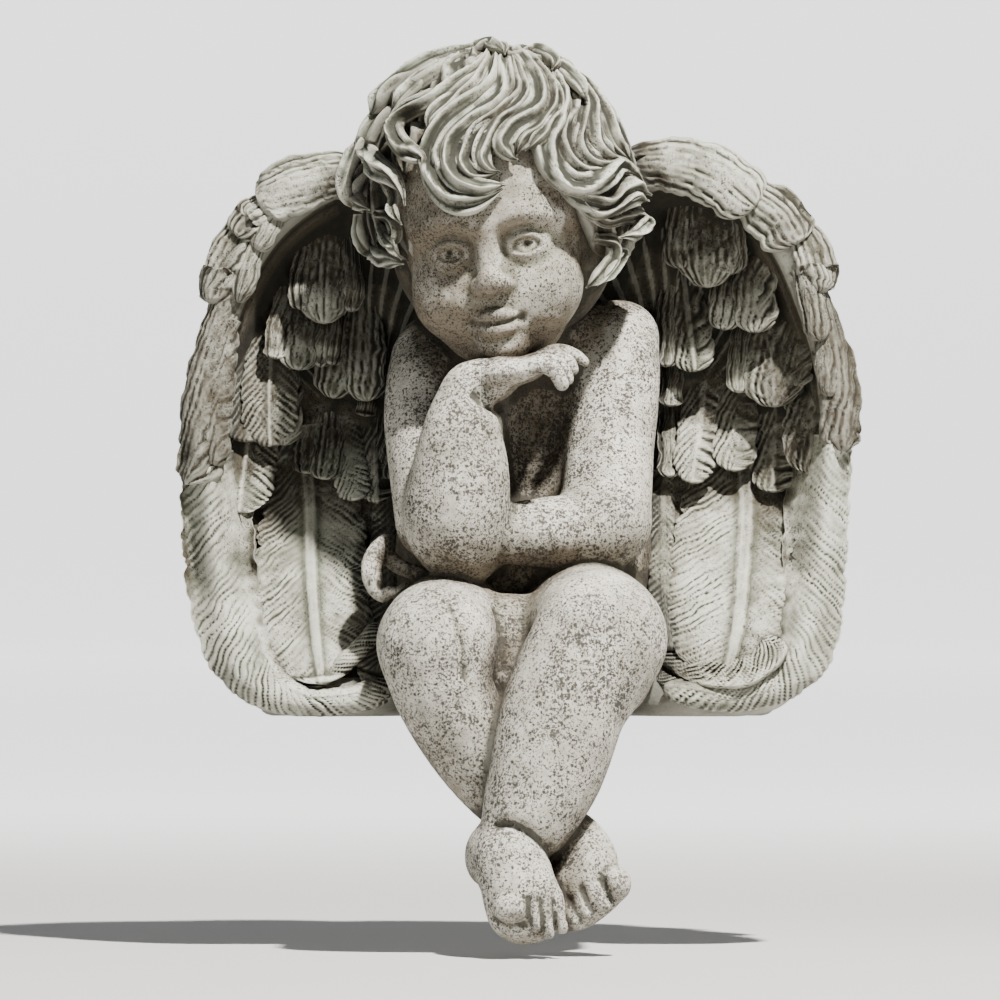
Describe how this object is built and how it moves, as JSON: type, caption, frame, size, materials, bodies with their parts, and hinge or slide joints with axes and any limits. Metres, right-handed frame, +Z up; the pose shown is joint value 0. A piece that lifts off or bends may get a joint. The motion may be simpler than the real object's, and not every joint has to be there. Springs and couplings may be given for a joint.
{
  "type": "putto statue",
  "caption": "Cast stone putto with cupped wings, seated for the edge of a ledge with crossed legs hanging over it and its chin on one hand.",
  "frame": {"origin": "on the flat underside that rests on a ledge, below the figure's seat, between the left and right ends of that underside; 66 mm behind the plane in which the ledge may end", "axes": "+Z up, the putto faces -Y, +X towards the figure's left"},
  "size_m": [0.304, 0.2167, 0.4017],
  "materials": {
    "cast_stone": "weathered cast stone, rough and matt, warm grey with dark pits and greenish-grey growth in the hollows"
  },
  "bodies": {
    "root": {"putto": "cast_stone"}
  },
  "joints": []
}
